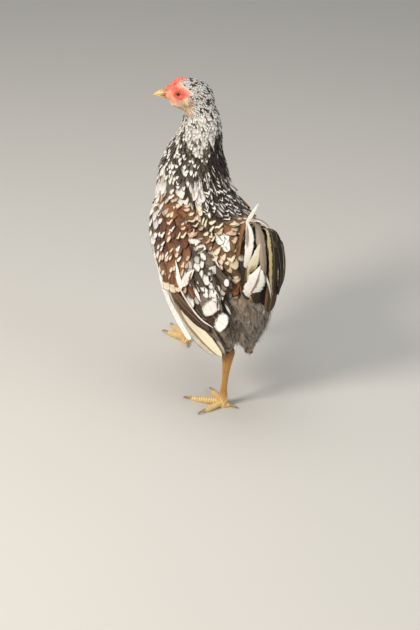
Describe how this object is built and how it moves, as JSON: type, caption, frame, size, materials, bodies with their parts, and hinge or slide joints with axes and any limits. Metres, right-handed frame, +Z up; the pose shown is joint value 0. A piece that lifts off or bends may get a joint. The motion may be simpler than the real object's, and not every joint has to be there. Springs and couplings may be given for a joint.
{
  "type": "chicken",
  "caption": "Life-size standing pullet in mottled brown, white and grey plumage, neck upright, head turned to its left, wings folded low, one foot stepping ahead",
  "frame": {"origin": "middle of the bird's outline seen from above, on the floor under it", "axes": "+Z up, -Y the way the body faces, +X the bird's left"},
  "size_m": [0.137, 0.3226, 0.4301],
  "materials": {
    "body_plumage": "mottled feathers, red-brown with white and cream tips",
    "neck_plumage": "fine pointed feathers, white flecked with dark grey",
    "flight_feathers": "smooth long vanes, white and cream with dark edges",
    "tail_feathers": "smooth vanes, dark brown with cream edges and white blotches",
    "grey_fluff": "loose grey-brown fluff",
    "red_skin": "pebbled bare skin, matt",
    "ear_lobes": "soft wrinkled skin, matt",
    "beak_horn": "smooth horn, satin",
    "claw_horn": "smooth horn, satin",
    "eyes": "wet gloss",
    "leg_scales": "dry scaled skin, satin"
  },
  "bodies": {
    "root": {"head": "neck_plumage", "neck_upper": "neck_plumage", "neck_lower": "neck_plumage", "trunk": "body_plumage", "eye_left": "eyes", "eye_right": "eyes", "beak_upper": "beak_horn", "beak_lower": "beak_horn", "comb": "red_skin", "wattle_left": "red_skin", "wattle_right": "red_skin", "earlobe_left": "ear_lobes", "earlobe_right": "ear_lobes", "wing_left": "body_plumage", "wing_right": "body_plumage", "primaries_left": "flight_feathers", "primaries_right": "flight_feathers", "tail": "tail_feathers", "thigh_left": "grey_fluff", "thigh_right": "grey_fluff", "shank_left": "leg_scales", "shank_right": "leg_scales", "toe_left_inner": "leg_scales", "toe_left_middle": "leg_scales", "toe_left_outer": "leg_scales", "toe_left_hallux": "leg_scales", "toe_right_inner": "leg_scales", "toe_right_middle": "leg_scales", "toe_right_outer": "leg_scales", "toe_right_hallux": "leg_scales", "claw_left_inner": "claw_horn", "claw_left_middle": "claw_horn", "claw_left_outer": "claw_horn", "claw_left_hallux": "claw_horn", "claw_right_inner": "claw_horn", "claw_right_middle": "claw_horn", "claw_right_outer": "claw_horn", "claw_right_hallux": "claw_horn"}
  },
  "joints": []
}
